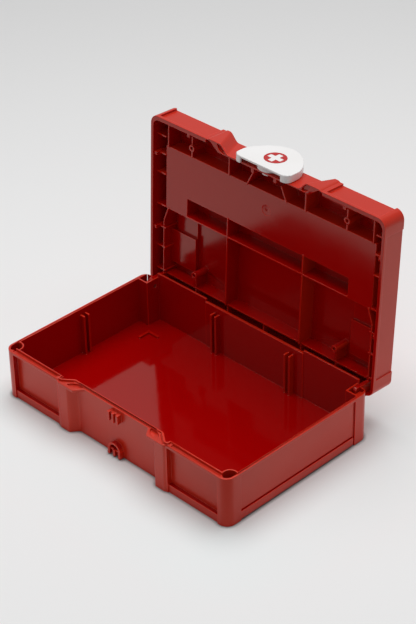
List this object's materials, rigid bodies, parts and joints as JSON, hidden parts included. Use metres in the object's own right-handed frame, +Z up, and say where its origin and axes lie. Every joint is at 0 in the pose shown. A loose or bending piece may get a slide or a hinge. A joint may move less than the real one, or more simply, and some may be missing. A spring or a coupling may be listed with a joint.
{
  "type": "first aid case",
  "caption": "Small red plastic first aid case with a hinged ribbed lid and a white turning latch that bears a round cross sign, shown open.",
  "frame": {"origin": "middle of the underside of the box, between the front plane and the outside of the back wall", "axes": "+X along the width to the right as seen from the front, +Y from the latch side to the hinge side, +Z up"},
  "size_m": [0.265, 0.2186, 0.204],
  "materials": {
    "red_plastic": "moulded, glossy",
    "white_plastic": "moulded, satin",
    "sign_red": "printed inlay",
    "steel": "drawn wire"
  },
  "bodies": {
    "box": {"box_shell": "red_plastic", "hinge_pin_left": "steel", "hinge_pin_right": "steel"},
    "lid": {"lid_shell": "red_plastic"},
    "latch": {"latch_knob": "white_plastic", "latch_badge": "sign_red"}
  },
  "joints": [
    {"name": "lid_hinge", "type": "hinge", "parent": "box", "child": "lid", "pos_m": [0, 0.0781, 0.04], "axis": [1, 0, 0], "range_deg": [0, 92.8]},
    {"name": "latch_turn", "type": "hinge", "parent": "lid", "child": "latch", "pos_m": [0, 0.10425, 0.19601], "axis": [0, 0.0488, 0.9988], "range_deg": [0, 180]}
  ]
}
